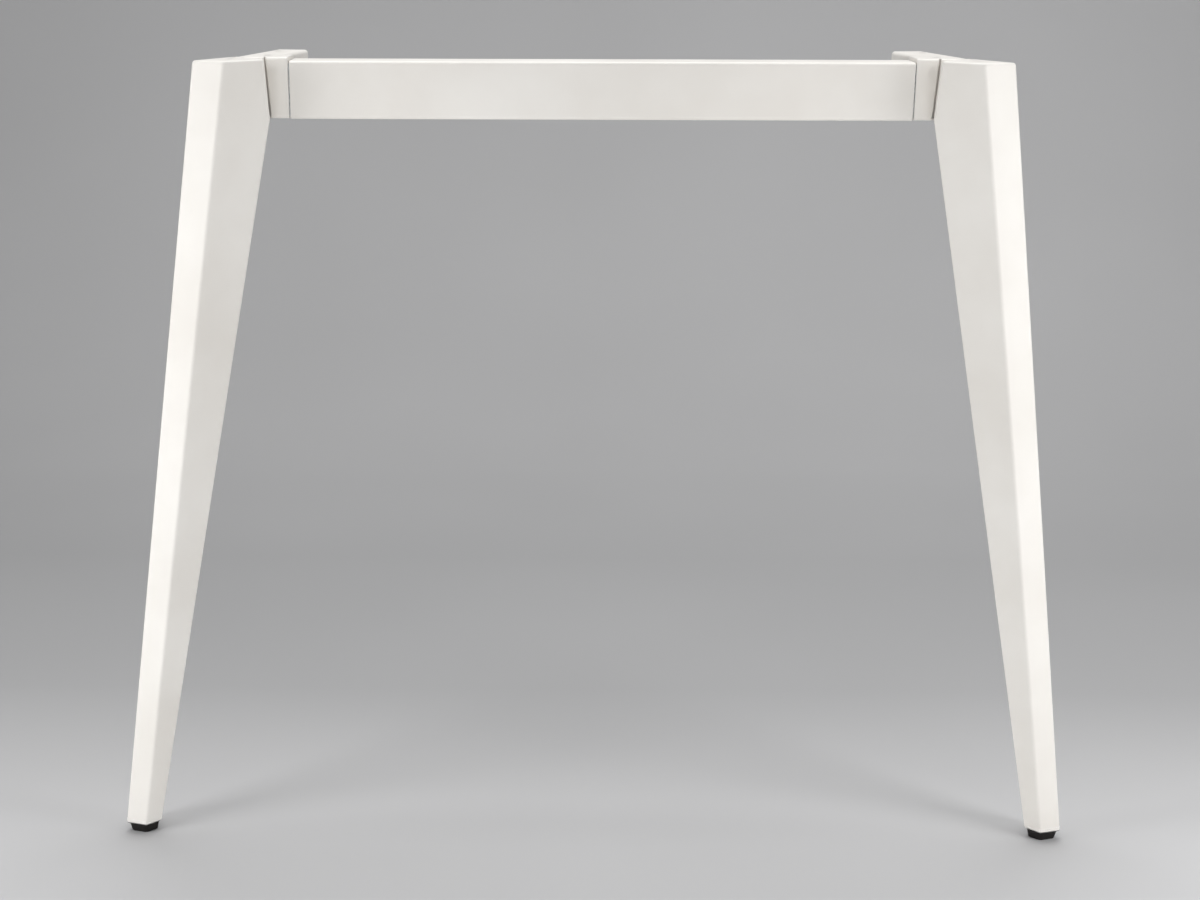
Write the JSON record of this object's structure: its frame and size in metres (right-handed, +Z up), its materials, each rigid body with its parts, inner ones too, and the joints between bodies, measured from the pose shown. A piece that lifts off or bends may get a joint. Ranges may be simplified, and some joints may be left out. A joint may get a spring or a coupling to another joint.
{
  "type": "desk frame",
  "caption": "White steel desk end frame with tapered splayed legs, a rectangular cross beam, short rear arms and black rubber feet.",
  "frame": {"origin": "on the floor, at the centre of the frame's bounding box seen from above", "axes": "+X along the cross beam, +Y towards the rear arms, +Z up"},
  "size_m": [0.8836, 0.1761, 0.715],
  "materials": {
    "white_steel": "satin white powder coat on steel",
    "white_plastic": "satin white moulded plastic",
    "black_rubber": "matt black moulded rubber",
    "zinc_steel": "bright zinc plate on steel"
  },
  "bodies": {
    "root": {"crossbeam": "white_steel", "left_leg": "white_steel", "right_leg": "white_steel", "left_leg_cap": "white_steel", "right_leg_cap": "white_steel", "left_foot_plate": "white_steel", "right_foot_plate": "white_steel", "left_foot": "black_rubber", "right_foot": "black_rubber", "foot_screws": "zinc_steel", "foot_nuts": "zinc_steel", "left_arm": "white_steel", "right_arm": "white_steel", "left_arm_cap": "white_plastic", "right_arm_cap": "white_plastic", "left_spigot": "zinc_steel", "right_spigot": "zinc_steel", "left_connector": "white_steel", "right_connector": "white_steel", "beam_screws": "zinc_steel", "spigot_nuts": "zinc_steel"}
  },
  "joints": []
}
